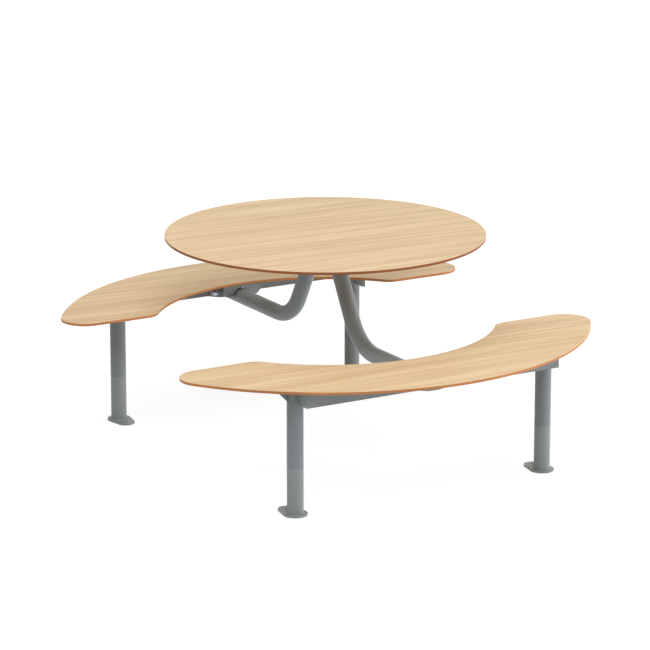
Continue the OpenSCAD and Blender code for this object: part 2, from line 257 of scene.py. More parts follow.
top_face = grained_face("top_face", (0.4, 0.9, 0.0), -3)
front_face = grained_face("front_bench_face", (3.1, 5.7, 0.0), -1)
rear_face = grained_face("rear_bench_face", (7.3, 2.9, 0.0), -4)
print("laminates:", top_face.name, front_face.name, rear_face.name)

# %% [markdown]
# The rims are sealed and stained darker than the faces, the table top's a little more than the
# benches'. A board of this kind is pressed from thin sheets, so the rim is mixed from fine
# layers in Z and slow changes along the edge. The rows of the rim where the upper edge is eased
# get a pale finish of their own: a painted highlight, the thin light line that the rounded edge
# catches.

# %% Stained rim and painted edge highlight
layer_size = (0.11, 0.11, 0.0011)
stain_size = (0.2, 0.2, 0.3)
rim_gloss = 0.2
layer_depth = 0.00008


def rim_stain_and_highlight(name, light, dark):
    """A layered rim between two tones: two stains on the real rims, a painted highlight on the
    eased edge.
    """
    material, tree, shader = blank_material(name)
    layers = speckle(tree, layer_size, detail=1.0)
    tone = speckle(tree, stain_size, detail=2.0)
    colour = blend_colours(tree, spread(tree, tone, 0.35, 0.7, 0.0, 0.5), light, dark)
    colour = blend_colours(tree, spread(tree, layers, 0.48, 0.68, 0.0, 0.45), colour, dark)
    tree.links.new(colour, shader.inputs["Base Color"])
    tree.links.new(spread(tree, layers, 0.3, 0.7, 0.42, 0.56), shader.inputs["Roughness"])
    shader.inputs["Specular IOR Level"].default_value = rim_gloss
    add_bump(tree, shader, layers, layer_depth, 0.6)
    return material


top_rim = rim_stain_and_highlight("top_rim", top_edge, top_edge_dark)
bench_rim = rim_stain_and_highlight("bench_rim", bench_edge, bench_edge_dark)
# The eased upper edge: a painted highlight in pale tones.
painted_highlight_edge = rim_stain_and_highlight("painted_highlight_edge", edge_highlight, edge_highlight_dark)
print("rims:", top_rim.name, bench_rim.name, painted_highlight_edge.name)

# %% [markdown]
# The steel is powder coated in a plain mid grey with a satin gloss. Powder coat flows out into
# a faint orange-peel surface, which breaks up its reflections, and it is never quite even in
# tone. Both come from noise, the first as bump and the second as a small change of colour. The
# feet get a lighter copy of the coat: painted light, standing in for the brighter light that
# reaches the low parts near the floor, and it shows as a step at the seams.

# %% Powder coat
cloud_size = 3 * (0.17,)
grit_size = 3 * (0.0007,)
peel_size = 3 * (0.0024,)
peel_depth = 0.00005
coat_gloss = 0.3


def powder_coat(name, light, dark):
    """A satin coat that wanders a little between two tones."""
    material, tree, shader = blank_material(name)
    tone = speckle(tree, cloud_size, detail=3.0)
    grit = speckle(tree, grit_size, detail=1.0)
    peel = speckle(tree, peel_size, detail=2.0)
    colour = blend_colours(tree, spread(tree, tone, 0.35, 0.65, 0.0, 0.5), light, dark)
    colour = blend_colours(tree, spread(tree, grit, 0.6, 0.8, 0.0, 0.35), colour, dark)
    tree.links.new(colour, shader.inputs["Base Color"])
    tree.links.new(spread(tree, tone, 0.3, 0.7, 0.36, 0.46), shader.inputs["Roughness"])
    shader.inputs["Specular IOR Level"].default_value = coat_gloss
    add_bump(tree, shader, peel, peel_depth, 0.5)
    return material


frame_coat = powder_coat("frame_coat", paint_colour, paint_dark)
# The lighter copy of the coat for the feet is painted light from the floor.
lit_foot_coat = powder_coat("lit_foot_coat", lit_foot_paint, lit_foot_paint_dark)
print("coats:", frame_coat.name, lit_foot_coat.name)

# %% [markdown]
# Nuts, washers, studs and screws are zinc plated: a bright, slightly bluish metal with small
# cloudy patches where the crystals of the plating lie another way.

# %% Zinc plating
patch_size = 3 * (0.004,)
crystal_size = 3 * (0.00055,)
crystal_depth = 0.00003


def zinc_plate():
    """Bright zinc with cloudy patches."""
    material, tree, shader = blank_material("zinc_plate")
    clouds = speckle(tree, patch_size, detail=3.0, swirl=0.6)
    crystals = speckle(tree, crystal_size, detail=1.0)
    colour = blend_colours(tree, spread(tree, clouds, 0.35, 0.65), zinc_colour, zinc_dark)
    tree.links.new(colour, shader.inputs["Base Color"])
    shader.inputs["Metallic"].default_value = 1.0
    tree.links.new(spread(tree, clouds, 0.3, 0.7, 0.22, 0.38), shader.inputs["Roughness"])
    add_bump(tree, shader, crystals, crystal_depth, 0.4)
    return material


plating = zinc_plate()
print("plating:", plating.name)

# %% [markdown]
# New pieces are meshes that are written out in code. One function turns a finished mesh into
# an object, puts it on the model's body, gives it its finishes and hides the model's pieces that it
# stands for. The model has no joints, so it is one body, and every piece rides on that.

# %% Helper for new pieces
body_name = next(iter(frame["bodies"]))


def make_piece(name, mesh, materials, stands_for=()):
    """Adds an object at the origin, from a mesh that has its place in its points."""
    piece = bpy.data.objects.new(name, mesh)
    bpy.context.scene.collection.objects.link(piece)
    for material in materials:
        mesh.materials.append(material)
    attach(piece, body_name)
    if stands_for:
        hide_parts(*stands_for)
    print(name, "has", len(mesh.polygons), "faces")


# %% [markdown]
# All three boards are the same thing: a flat outline with an eased rim. The outline is a list
# of points, each with the direction that points out of the board there. The rim is then a few
# copies of the outline, moved inwards and upwards along a quarter circle, so that its rounding
# is even all the way round, also in the hollow of a bench.

# %% A board from its outline
rim_ease = 0.0014
ease_steps = 3
face_slot, rim_slot, highlight_slot = 0, 1, 2


def arc(centre, radius, start, end, steps, outwards=1):
    """Points on an arc in degrees, its end left out, each with the way out of the board."""
    made = []
    for step in range(steps):
        angle = math.radians(start + (end - start) * step / steps)
        away = Vector((math.cos(angle), math.sin(angle)))
        made.append((Vector(centre) + radius * away, outwards * away))
    return made


def rim_profile(bottom, top):
    """(inset, height) pairs from the lower face round the rim to the upper face."""
    quarter = [math.radians(90 * step / ease_steps) for step in range(ease_steps + 1)]
    lower = [(rim_ease * (1 - math.sin(a)), bottom + rim_ease * (1 - math.cos(a))) for a in quarter]
    upper = [(inset, top + bottom - height) for inset, height in reversed(lower)]
    return lower + upper


def board_mesh(name, outline, bottom, top):
    """A board with an eased rim: the outline runs anticlockwise as seen from above."""
    shape = bmesh.new()
    rings = []
    for inset, height in rim_profile(bottom, top):
        places = [point - inset * away for point, away in outline]
        rings.append([shape.verts.new((p.x, p.y, height)) for p in places])
    for row, (lower, upper) in enumerate(zip(rings, rings[1:])):
        for here in range(len(lower)):
            there = (here + 1) % len(lower)
            side = shape.faces.new((lower[here], lower[there], upper[there], upper[here]))
            # The upper eased rows carry the painted highlight, the rest the stained rim.
            side.material_index = highlight_slot if row > ease_steps + 1 else rim_slot
            side.smooth = True
    for ring in (rings[-1], rings[0][::-1]):
        flat = shape.faces.new(ring)
        flat.material_index = face_slot
    mesh = bpy.data.meshes.new(name)
    shape.to_mesh(mesh)
    shape.free()
    return mesh


print("rim profile has", len(rim_profile(0.0, 0.01)), "rings")

# %% [markdown]
# The table top is the simplest board: one full circle. Its radius and its two heights are read
# from the frame, so it sits exactly where the steel carries it.

# %% Table top
circle_steps = 360
top_low, top_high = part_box("tabletop")
top_radius = top_high.x
top_outline = arc((0, 0), top_radius, 0, 360, circle_steps)
make_piece(
    "round_top",
    board_mesh("round_top", top_outline, top_low.z, top_high.z),
    (top_face, top_rim, painted_highlight_edge),
    ["tabletop"],
)
print("table top radius", round(top_radius, 4))

# %% [markdown]
# A bench follows the table: its outer edge and its hollow inner edge are arcs about the middle
# of the table. The ends are cut straight along X, with a nose outside and a shoulder inside.
# Each of these four corners is an arc that touches its neighbours without a kink, which fixes
# its centre. The front bench is the same outline, mirrored, so its points run the other way.

# %% Benches
inner_radius = 0.587
nose_radius = 0.086
shoulder_radius = 0.062
outer_steps = 150
nose_steps = 25
shoulder_steps = 20
hollow_steps = 110


def bench_outline(outer_radius, end_y):
    """The outline of the rear bench, anticlockwise from the end of its right nose."""
    nose_y = end_y + nose_radius
    nose_x = math.sqrt((outer_radius - nose_radius) ** 2 - nose_y ** 2)
    shoulder_y = end_y + shoulder_radius
    shoulder_x = math.sqrt((inner_radius + shoulder_radius) ** 2 - shoulder_y ** 2)
    nose_turn = math.degrees(math.atan2(nose_y, nose_x))
    shoulder_turn = math.degrees(math.atan2(shoulder_y, shoulder_x))
    return (
        arc((0, 0), outer_radius, nose_turn, 180 - nose_turn, outer_steps)
        + arc((-nose_x, nose_y), nose_radius, 180 - nose_turn, 270, nose_steps)
        + arc((-shoulder_x, shoulder_y), shoulder_radius, -90, -shoulder_turn, shoulder_steps)
        + arc((0, 0), inner_radius, 180 - shoulder_turn, shoulder_turn, hollow_steps, outwards=-1)
        + arc((shoulder_x, shoulder_y), shoulder_radius, 180 + shoulder_turn, 270, shoulder_steps)
        + arc((nose_x, nose_y), nose_radius, -90, nose_turn, nose_steps)
    )


def mirrored(outline):
    """The same outline on the other side of the X axis, still anticlockwise."""
    flip = Vector((1, -1))
    return [(point * flip, away * flip) for point, away in reversed(outline)]


seat_low, seat_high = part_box("bench_board_rear")
rear_outline = bench_outline(seat_high.y, seat_low.y)
for side, outline, face in (
    ("rear", rear_outline, rear_face),
    ("front", mirrored(rear_outline), front_face),
):
    seat = board_mesh("bench_seat_" + side, outline, seat_low.z, seat_high.z)
    finishes = (face, bench_rim, painted_highlight_edge)
    make_piece("bench_seat_" + side, seat, finishes, ["bench_board_" + side])
print("bench length", round(seat_high.x - seat_low.x, 4), "height", round(seat_high.z, 4))

# %% [markdown]
# Each arm is one bent tube, which is a shape that follows a rule, so a Geometry Nodes tree
# makes it. The path is only three points: the end at the rail, the corner and a point past the
# head plate. Fillet Curve rounds the corner to the bend's real radius, and Curve to Mesh sweeps
# a circle along it. Real tubes are cut off flush under the head plate, so points that would
# stand above it slide back along the tube's axis until they are level with it.

# %% Tree for a bent tube
def new_tree(name, sockets):
    """A Geometry Nodes tree with named inputs. sockets maps each name to its kind."""
    tree = bpy.data.node_groups.new(name, "GeometryNodeTree")
    tree.is_modifier = True
    for socket, kind in sockets.items():
        tree.interface.new_socket(name=socket, in_out="INPUT", socket_type="NodeSocket" + kind)
    tree.interface.new_socket(name="Mesh", in_out="OUTPUT", socket_type="NodeSocketGeometry")
    return tree, add_node(tree, "NodeGroupInput"), add_node(tree, "NodeGroupOutput")


def end_tree(tree, start, end, geometry):
    """Makes instances real, sets the finish and closes the tree."""
    real = add_node(tree, "GeometryNodeRealizeInstances")
    finish = add_node(tree, "GeometryNodeSetMaterial")
    tree.links.new(geometry, real.inputs["Geometry"])
    tree.links.new(real.outputs["Geometry"], finish.inputs["Geometry"])
    tree.links.new(start.outputs["Finish"], finish.inputs["Material"])
    tree.links.new(finish.outputs["Geometry"], end.inputs["Mesh"])


def math_node(tree, operation, *values):
    """A Math node whose inputs are numbers or outputs."""
    node = add_node(tree, "ShaderNodeMath", operation=operation)
    for socket, value in zip(node.inputs, values):
        if isinstance(value, (int, float)):
            socket.default_value = value
        else:
            tree.links.new(value, socket)
    return node.outputs["Value"]


tube_sides = 72
bend_steps = 40


def bent_tube_tree():
    """Sweeps a circle along a path of straight runs with rounded corners."""
    tree, start, end = new_tree("bent_tube", {
        "Path": "Geometry", "Bend": "Float", "Radius": "Float",
        "Cut": "Float", "Axis": "Vector", "Finish": "Material",
    })
    line = add_node(tree, "GeometryNodeMeshToCurve")
    bend = add_node(tree, "GeometryNodeFilletCurve")
    corner_steps = next(s for s in bend.inputs if s.name == "Count")
    profile = add_node(tree, "GeometryNodeCurvePrimitiveCircle")
    sweep = add_node(tree, "GeometryNodeCurveToMesh")
    smooth = add_node(tree, "GeometryNodeSetShadeSmooth")
    place = add_node(tree, "GeometryNodeInputPosition")
    parts = add_node(tree, "ShaderNodeSeparateXYZ")
    slide = add_node(tree, "ShaderNodeVectorMath", operation="SCALE")
    level = add_node(tree, "GeometryNodeSetPosition")
    profile.inputs["Resolution"].default_value = tube_sides
    bend.inputs["Limit Radius"].default_value = True
    if hasattr(bend, "mode"):
        bend.mode = "POLY"
    else:
        bend.inputs["Mode"].default_value = "Poly"
    corner_steps.default_value = bend_steps
    sweep.inputs["Fill Caps"].default_value = True
    tree.links.new(start.outputs["Path"], line.inputs["Mesh"])
    tree.links.new(line.outputs["Curve"], bend.inputs["Curve"])
    tree.links.new(start.outputs["Bend"], bend.inputs["Radius"])
    tree.links.new(start.outputs["Radius"], profile.inputs["Radius"])
    tree.links.new(bend.outputs["Curve"], sweep.inputs["Curve"])
    tree.links.new(profile.outputs["Curve"], sweep.inputs["Profile Curve"])
    tree.links.new(sweep.outputs["Mesh"], level.inputs["Geometry"])
    tree.links.new(place.outputs["Position"], parts.inputs["Vector"])
    too_high = math_node(tree, "SUBTRACT", start.outputs["Cut"], parts.outputs["Z"])
    tree.links.new(start.outputs["Axis"], slide.inputs["Vector"])
    tree.links.new(math_node(tree, "MINIMUM", too_high, 0.0), slide.inputs["Scale"])
    tree.links.new(slide.outputs["Vector"], level.inputs["Offset"])
    tree.links.new(level.outputs["Geometry"], smooth.inputs["Geometry"])
    end_tree(tree, start, end, smooth.outputs["Geometry"])
    return tree


def grow(name, mesh, tree, inputs):
    """Runs a tree on a mesh and returns the result as a plain mesh."""
    seed = bpy.data.objects.new(name + "_seed", mesh)
    bpy.context.scene.collection.objects.link(seed)
    modifier = seed.modifiers.new("grow", "NODES")
    modifier.node_group = tree
    for item in tree.interface.items_tree:
        if item.item_type == "SOCKET" and item.in_out == "INPUT" and item.name in inputs:
            modifier[item.identifier] = inputs[item.name]
    seed.update_tag()
    bpy.context.view_layer.update()
    evaluated = seed.evaluated_get(bpy.context.evaluated_depsgraph_get())
    grown = bpy.data.meshes.new_from_object(evaluated)
    grown.name = name
    seed.modifiers.remove(modifier)
    bpy.data.objects.remove(seed)
    grown.materials.clear()
    return grown


tube_tree = bent_tube_tree()
print("tree", tube_tree.name, "has", len(tube_tree.nodes), "nodes")

# %% [markdown]
# The sizes of the arms are the real ones: 55 mm tube, bent to 174 mm at its axis, leaning
# 29.4 degrees in the upper run. The path is written for one side and mirrored in Y for the
# other.

# %% Arms
arm_radius = 0.0275
arm_level = 0.399
arm_bend = 0.174
arm_lean = math.radians(29.4)
arm_head_y = 0.0395
end_plate_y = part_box("arm_end_plate_rear")[0].y
head_plate_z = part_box("arm_head_plate_rear")[0].z
past_head = 0.03


def path_mesh(name, points):
    """Points joined by edges, for a tree to turn into a curve."""
    edges = [(here, here + 1) for here in range(len(points) - 1)]
    mesh = bpy.data.meshes.new(name)
    mesh.from_pydata([tuple(p) for p in points], edges, [])
    return mesh


def arm_path(sign):
    """The end at the rail, the corner and a point past the head plate. sign is the side in Y."""
    corner_y = arm_head_y + (head_plate_z - arm_level) * math.tan(arm_lean)
    top_y = arm_head_y - past_head * math.tan(arm_lean)
    return [
        Vector((0, sign * end_plate_y, arm_level)),
        Vector((0, sign * corner_y, arm_level)),
        Vector((0, sign * top_y, head_plate_z + past_head)),
    ]


for side, sign in (("front", -1), ("rear", 1)):
    tube = grow("arm_tube_" + side, path_mesh("arm_path", arm_path(sign)), tube_tree, {
        "Bend": arm_bend,
        "Radius": arm_radius,
        "Cut": head_plate_z,
        "Axis": (0.0, -sign * math.tan(arm_lean), 1.0),
        "Finish": frame_coat,
    })
    make_piece("arm_tube_" + side, tube, (frame_coat,), ["arm_" + side])

# %% [markdown]
# The rest of the painted steel, the legs, feet, rails, fins and plates, already has its true
# shape, so it only gets its finish. A copy with modelled edges would be the other way, but the
# plates are only a few millimetres thick and their edges are sheared off square on the real one.

# %% Finish on the steel of the frame
painted_kinds = (
    "bench_rail", "leg_", "foot_", "outer_fin", "inner_fin", "gusset",
    "arm_head", "arm_end", "arm_saddle",
)
painted = [name for name in sorted(nodes) if name.startswith(painted_kinds)]
for name in painted:
    nodes[name].data.materials.clear()
    # The feet take the lighter coat, which is painted light; the rest take the plain coat.
    nodes[name].data.materials.append(lit_foot_coat if name.startswith("foot_") else frame_coat)
print("painted nodes:", len(painted))

# %% [markdown]
# Weld beads close the seams between tubes and plates. A bead is a small rope of metal with a
# scaly surface, one scale for each pulse of the torch. A tree sweeps a small circle along the
# seam and then pushes the points in and out along their normals with a sine of the distance.

# %% Tree for a weld bead
bead_sides = 8
steps_per_scale = 5.0


def weld_tree():
    """Sweeps a small circle along a seam and gives it scales."""
    tree, start, end = new_tree("weld_bead", {
        "Path": "Geometry", "Radius": "Float", "Scale length": "Float",
        "Scale height": "Float", "Finish": "Material",
    })
    line = add_node(tree, "GeometryNodeMeshToCurve")
    even = add_node(tree, "GeometryNodeResampleCurve")
    if hasattr(even, "mode"):
        even.mode = "LENGTH"
    else:
        even.inputs["Mode"].default_value = "Length"
    span = next(s for s in even.inputs if s.name == "Length")
    along = add_node(tree, "GeometryNodeSplineParameter")
    keep = add_node(tree, "GeometryNodeCaptureAttribute")
    keep.capture_items.new("FLOAT", "Distance")
    profile = add_node(tree, "GeometryNodeCurvePrimitiveCircle")
    sweep = add_node(tree, "GeometryNodeCurveToMesh")
    normal = add_node(tree, "GeometryNodeInputNormal")
    push = add_node(tree, "ShaderNodeVectorMath", operation="SCALE")
    move = add_node(tree, "GeometryNodeSetPosition")
    smooth = add_node(tree, "GeometryNodeSetShadeSmooth")
    profile.inputs["Resolution"].default_value = bead_sides
    sweep.inputs["Fill Caps"].default_value = True
    tree.links.new(start.outputs["Path"], line.inputs["Mesh"])
    tree.links.new(line.outputs["Curve"], even.inputs["Curve"])
    step = math_node(tree, "DIVIDE", start.outputs["Scale length"], steps_per_scale)
    tree.links.new(step, span)
    tree.links.new(even.outputs["Curve"], keep.inputs["Geometry"])
    tree.links.new(along.outputs["Length"], keep.inputs["Distance"])
    tree.links.new(start.outputs["Radius"], profile.inputs["Radius"])
    tree.links.new(keep.outputs["Geometry"], sweep.inputs["Curve"])
    tree.links.new(profile.outputs["Curve"], sweep.inputs["Profile Curve"])
    turns = math_node(tree, "DIVIDE", keep.outputs["Distance"], start.outputs["Scale length"])
    wave = math_node(tree, "SINE", math_node(tree, "MULTIPLY", turns, math.tau))
    height = math_node(tree, "MULTIPLY", wave, start.outputs["Scale height"])
    tree.links.new(normal.outputs["Normal"], push.inputs["Vector"])
    tree.links.new(height, push.inputs["Scale"])
    tree.links.new(sweep.outputs["Mesh"], move.inputs["Geometry"])
    tree.links.new(push.outputs["Vector"], move.inputs["Offset"])
    tree.links.new(move.outputs["Geometry"], smooth.inputs["Geometry"])
    end_tree(tree, start, end, smooth.outputs["Geometry"])
    return tree


bead_tree = weld_tree()
print("tree", bead_tree.name, "has", len(bead_tree.nodes), "nodes")

# %% [markdown]
# The seams are rings round the tubes: where a foot post meets its foot plate, where a leg meets
# its cap, and where an arm meets its end plate and its head plate. A leaning tube cuts a level
# plate in an ellipse, so the ring there is drawn out along Y.

# %% Weld beads
leg_axis = (0.482, 0.630)
leg_radius = 0.0275
foot_top_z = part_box("foot_plate_rear_right")[1].z
cap_under_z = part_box("leg_cap_rear_right")[0].z
bead_radius = 0.0022
scale_length = 0.0035
scale_height = 0.00025
seam_steps = 64
both = (-1, 1)


def ring(centre, across, along):
    """Points on an ellipse about a centre. across and along are its half axes as vectors."""
    turns = [math.tau * step / seam_steps for step in range(seam_steps)]
    middle, across, along = Vector(centre), Vector(across), Vector(along)
    return [middle + math.cos(t) * across + math.sin(t) * along for t in turns]


def add_beads(name, seams, coat=frame_coat):
    """Adds one piece with a bead along each of the closed seams."""
    points, edges = [], []
    for seam in seams:
        first = len(points)
        points += [tuple(p) for p in seam]
        edges += [(first + here, first + (here + 1) % len(seam)) for here in range(len(seam))]
    mesh = bpy.data.meshes.new(name + "_path")
    mesh.from_pydata(points, edges, [])
    bead = grow(name, mesh, bead_tree, {
        "Radius": bead_radius,
        "Scale length": scale_length,
        "Scale height": scale_height,
        "Finish": coat,
    })
    make_piece(name, bead, (coat,))


leg_ring = ((leg_radius, 0, 0), (0, leg_radius, 0))
corners = [(sx * leg_axis[0], sy * leg_axis[1]) for sx in both for sy in both]
foot_seams = [ring((x, y, foot_top_z), *leg_ring) for x, y in corners]
add_beads("foot_welds", foot_seams, lit_foot_coat)
add_beads("leg_cap_welds", [ring((x, y, cap_under_z), *leg_ring) for x, y in corners])

level_ring = ((arm_radius, 0, 0), (0, 0, arm_radius))
head_ring = ((arm_radius, 0, 0), (0, arm_radius / math.cos(arm_lean), 0))
add_beads("arm_end_welds", [ring((0, s * end_plate_y, arm_level), *level_ring) for s in both])
add_beads("arm_head_welds", [ring((0, s * arm_head_y, head_plate_z), *head_ring) for s in both])

# %% [markdown]
# The frame's screws, nuts and studs are plain cylinders that mark where a fastener goes. Each
# gets a proper one in its place. To find those places, the solids of a node are told apart by
# walking over the edges that join their points.

# %% Places of the fasteners
def solids_of(name):
    """(lowest, highest) corner of each separate solid in a node."""
    shape = bmesh.new()
    shape.from_mesh(nodes[name].data)
    bmesh.ops.remove_doubles(shape, verts=shape.verts, dist=1e-6)
    left = set(shape.verts)
    boxes = []
    while left:
        grown, edge_of = set(), [left.pop()]
        while edge_of:
            point = edge_of.pop()
            grown.add(point)
            for edge in point.link_edges:
                other = edge.other_vert(point)
                if other in left:
                    left.discard(other)
                    edge_of.append(other)
        low = Vector([min(v.co[i] for v in grown) for i in range(3)])
        high = Vector([max(v.co[i] for v in grown) for i in range(3)])
        boxes.append((low, high))
    shape.free()
    return sorted(boxes, key=lambda box: tuple(round(c, 4) for c in box[0]))


nut_boxes = {side: solids_of("stud_nuts_" + side) for side in ("front", "rear")}
print("nuts found:", {side: len(boxes) for side, boxes in nut_boxes.items()})

# %% [markdown]
# A fastener is drawn once, upright at the origin, and a small tree puts a copy on every point
# of a mesh. A Turn input lays it over, so the same nut serves both rails.

# %% Tree that sets a piece on points
def setting_tree():
    """Puts a copy of a piece on every point."""
    tree, start, end = new_tree("set_on_points", {
        "Places": "Geometry", "Piece": "Object", "Turn": "Rotation", "Finish": "Material",
    })
    info = add_node(tree, "GeometryNodeObjectInfo")
    setter = add_node(tree, "GeometryNodeInstanceOnPoints")
    tree.links.new(start.outputs["Piece"], info.inputs["Object"])
    tree.links.new(start.outputs["Places"], setter.inputs["Points"])
    tree.links.new(info.outputs["Geometry"], setter.inputs["Instance"])
    tree.links.new(start.outputs["Turn"], setter.inputs["Rotation"])
    end_tree(tree, start, end, setter.outputs["Instances"])
    return tree


def set_on_points(name, mesh, places, turn=(0.0, 0.0, 0.0)):
    """Copies of a mesh on each place, turned by angles about X, Y and Z."""
    pattern = bpy.data.objects.new(name + "_pattern", mesh)
    bpy.context.scene.collection.objects.link(pattern)
    made = grow(name, path_mesh(name + "_places", places), setter_tree, {
        "Piece": pattern,
        "Turn": turn,
        "Finish": plating,
    })
    bpy.data.objects.remove(pattern)
    return made


setter_tree = setting_tree()
print("tree", setter_tree.name, "has", len(setter_tree.nodes), "nodes")

# %% [markdown]
# Round parts are turned on a lathe, and so are these: a profile of (radius, height) pairs is
# spun about Z. A nut starts as such a blank too. Its six flats are cut by drawing every point
# in to the hexagon, which leaves the curved chamfer lines that a real nut shows on its corners.

# %% Turned parts
lathe_steps = 48


def turned(name, profile, reach=None):
    """A closed mesh from a profile spun about Z. reach may limit the radius in a direction."""
    shape = bmesh.new()
    rings = []
    for radius, height in profile:
        row = []
        for step in range(lathe_steps):
            angle = math.tau * step / lathe_steps
            far = radius if reach is None else min(radius, reach(angle))
            row.append(shape.verts.new((far * math.cos(angle), far * math.sin(angle), height)))
        rings.append(row)
    for lower, upper in zip(rings, rings[1:]):
        for here in range(lathe_steps):
            there = (here + 1) % lathe_steps
            shape.faces.new((lower[here], lower[there], upper[there], upper[here]))
    shape.faces.new(rings[0][::-1])
    shape.faces.new(rings[-1])
    bmesh.ops.remove_doubles(shape, verts=shape.verts, dist=1e-7)
    bmesh.ops.recalc_face_normals(shape, faces=shape.faces)
    mesh = bpy.data.meshes.new(name)
    shape.to_mesh(mesh)
    shape.free()
    return mesh


def hexagon(flat):
    """Distance to a hexagon's side in a direction, where flat is half its width over flats."""
    def reach(angle):
        turn = (angle + math.pi / 6) % (math.pi / 3) - math.pi / 6
        return flat / math.cos(turn)
    return reach


nut_low, nut_high = nut_boxes["rear"][0]
nut_height = nut_high.y - nut_low.y
nut_flat = (nut_high.x - nut_low.x) / 2 * math.cos(math.pi / 6)
nut_corner = (nut_high.x - nut_low.x) / 2
nut_chamfer = nut_corner - 0.97 * nut_flat
chamfer_rise = nut_chamfer * math.tan(math.radians(30))
chamfer_rows = 5


def nut_profile():
    """The nut's blank: a cylinder as wide as its corners, chamfered at both faces."""
    steps = [step / chamfer_rows for step in range(chamfer_rows + 1)]
    lower = [(nut_corner - nut_chamfer * (1 - s), chamfer_rise * s) for s in steps]
    upper = [(radius, nut_height - height) for radius, height in reversed(lower)]
    return lower + upper


nut_mesh = turned("nut", nut_profile(), hexagon(nut_flat))
print("nut:", round(2000 * nut_flat, 1), "mm over flats,", round(1000 * nut_height, 1), "mm high")

# %% [markdown]
# A stud's thread shows where it comes out of its nut. At this size a stack of rings looks the
# same as a helix and closes cleanly, so the profile zigzags between root and crest.

# %% Nuts and studs
thread_pitch = 0.00175
thread_depth = 0.0009
stud_chamfer = 0.0012
stud_boxes = {side: solids_of("rail_studs_" + side) for side in ("front", "rear")}
stud_low, stud_high = stud_boxes["rear"][0]
stud_radius = (stud_high.x - stud_low.x) / 2
stud_length = stud_high.y - stud_low.y


def stud_profile():
    """A threaded rod with a chamfer at its upper end."""
    rows = [(stud_radius, 0.0)]
    height = thread_pitch
    while height < stud_length - stud_chamfer:
        rows.append((stud_radius, height - 0.15 * thread_pitch))
        rows.append((stud_radius - thread_depth, height + 0.35 * thread_pitch))
        height += thread_pitch
    rows.append((stud_radius - thread_depth, stud_length - stud_chamfer))
    rows.append((stud_radius - thread_depth - stud_chamfer / 2, stud_length))
    return rows


stud_mesh = turned("stud", stud_profile())
lay_over = {"front": (-math.pi / 2, 0.0, 0.0), "rear": (math.pi / 2, 0.0, 0.0)}


def outer_end(low, high, side):
    """The middle of the end that points away from the table."""
    outer_y = high.y if side == "rear" else low.y
    return Vector(((low.x + high.x) / 2, outer_y, (low.z + high.z) / 2))


for side in ("front", "rear"):
    for kind, mesh, boxes, node in (
        ("hex_nuts_", nut_mesh, nut_boxes[side], "stud_nuts_"),
        ("threaded_studs_", stud_mesh, stud_boxes[side], "rail_studs_"),
    ):
        places = [outer_end(low, high, side) for low, high in boxes]
        made = set_on_points(kind + side, mesh, places, lay_over[side])
        make_piece(kind + side, made, (plating,), [node + side])
    nodes["stud_washers_" + side].data.materials.clear()
    nodes["stud_washers_" + side].data.materials.append(plating)

# %% [markdown]
# The boards are held from below by pan head screws with a cross recess. The head is a dome, and
# the recess is four slots that meet in the middle. It is made by pushing the dome's points down
# where they lie inside the cross, so the head stays one closed skin.

# %% Pan head screws
screw_nodes = ("tabletop_screws", "bench_screws_front", "bench_screws_rear")
screw_boxes = {name: solids_of(name) for name in screw_nodes}
one_low, one_high = screw_boxes["tabletop_screws"][0]
head_radius = (one_high.x - one_low.x) / 2
head_rise = 0.0032
dome_rise = 0.75 * head_rise
dome_fullness = 2.4
shank_radius = head_radius / 2
slot_half = 0.0007
slot_reach = 0.0027
slot_depth = 0.0018
dome_rings = 14
dome_turns = 48


def screw_mesh():
    """Head down at the origin, shank up: the seat of the head is at the head's height."""
    shape = bmesh.new()
    length = one_high.z - one_low.z
    rows = []
    for row in range(1, dome_rings + 1):
        share = row / dome_rings
        dome = dome_rise * (1 - math.sqrt(max(0.0, 1 - share ** dome_fullness)))
        rows.append((head_radius * share, dome))
    rows.append((head_radius, head_rise))
    rows.append((shank_radius, head_rise))
    rows.append((shank_radius, length))
    rings = []
    for radius, height in rows:
        ring_points = []
        for step in range(dome_turns):
            angle = math.tau * step / dome_turns
            x, y = radius * math.cos(angle), radius * math.sin(angle)
            narrow, far = sorted((abs(x), abs(y)))
            inside = narrow < slot_half and far < slot_reach and height < head_rise
            lift = slot_depth * (1 - far / slot_reach) ** 0.5 if inside else 0.0
            ring_points.append(shape.verts.new((x, y, height + lift)))
        rings.append(ring_points)
    middle = shape.verts.new((0, 0, slot_depth))
    for here in range(dome_turns):
        there = (here + 1) % dome_turns
        shape.faces.new((middle, rings[0][there], rings[0][here]))
        for lower, upper in zip(rings, rings[1:]):
            shape.faces.new((lower[here], lower[there], upper[there], upper[here]))
    shape.faces.new(rings[-1])
    bmesh.ops.recalc_face_normals(shape, faces=shape.faces)
    mesh = bpy.data.meshes.new("pan_head_screw")
    shape.to_mesh(mesh)
    shape.free()
    return mesh


pan_head = screw_mesh()
for name, boxes in screw_boxes.items():
    heads = [Vector(((low.x + high.x) / 2, (low.y + high.y) / 2, low.z)) for low, high in boxes]
    made = set_on_points("cross_" + name, pan_head, heads)
    make_piece("cross_" + name, made, (plating,), [name])

# %% [markdown]
# The stage is a wide pale floor. To the camera it is almost as bright as the background, so the
# object seems to stand in plain white, but part of its tone still comes from the light that
# reaches it, and that keeps the soft shadows under the feet. Far out, where the lamps don't
# reach, the floor's own light takes over, so no horizon shows.

# %% Floor
floor_half = 40.0
floor_colour = (0.85, 0.85, 0.85, 1.0)
own_share = 0.70
own_strength = 1.24
shadow_reach = 1.6
white_from = 5.0


def is_seen(tree):
    """1 for rays from the camera and for those that show the surroundings in metal or glass."""
    path = add_node(tree, "ShaderNodeLightPath")
    camera_ray = path.outputs["Is Camera Ray"]
    glossy_ray = path.outputs["Is Glossy Ray"]
    clear_ray = path.outputs["Is Transmission Ray"]
    mirrored_ray = math_node(tree, "MAXIMUM", glossy_ray, clear_ray)
    return math_node(tree, "MAXIMUM", camera_ray, mirrored_ray)


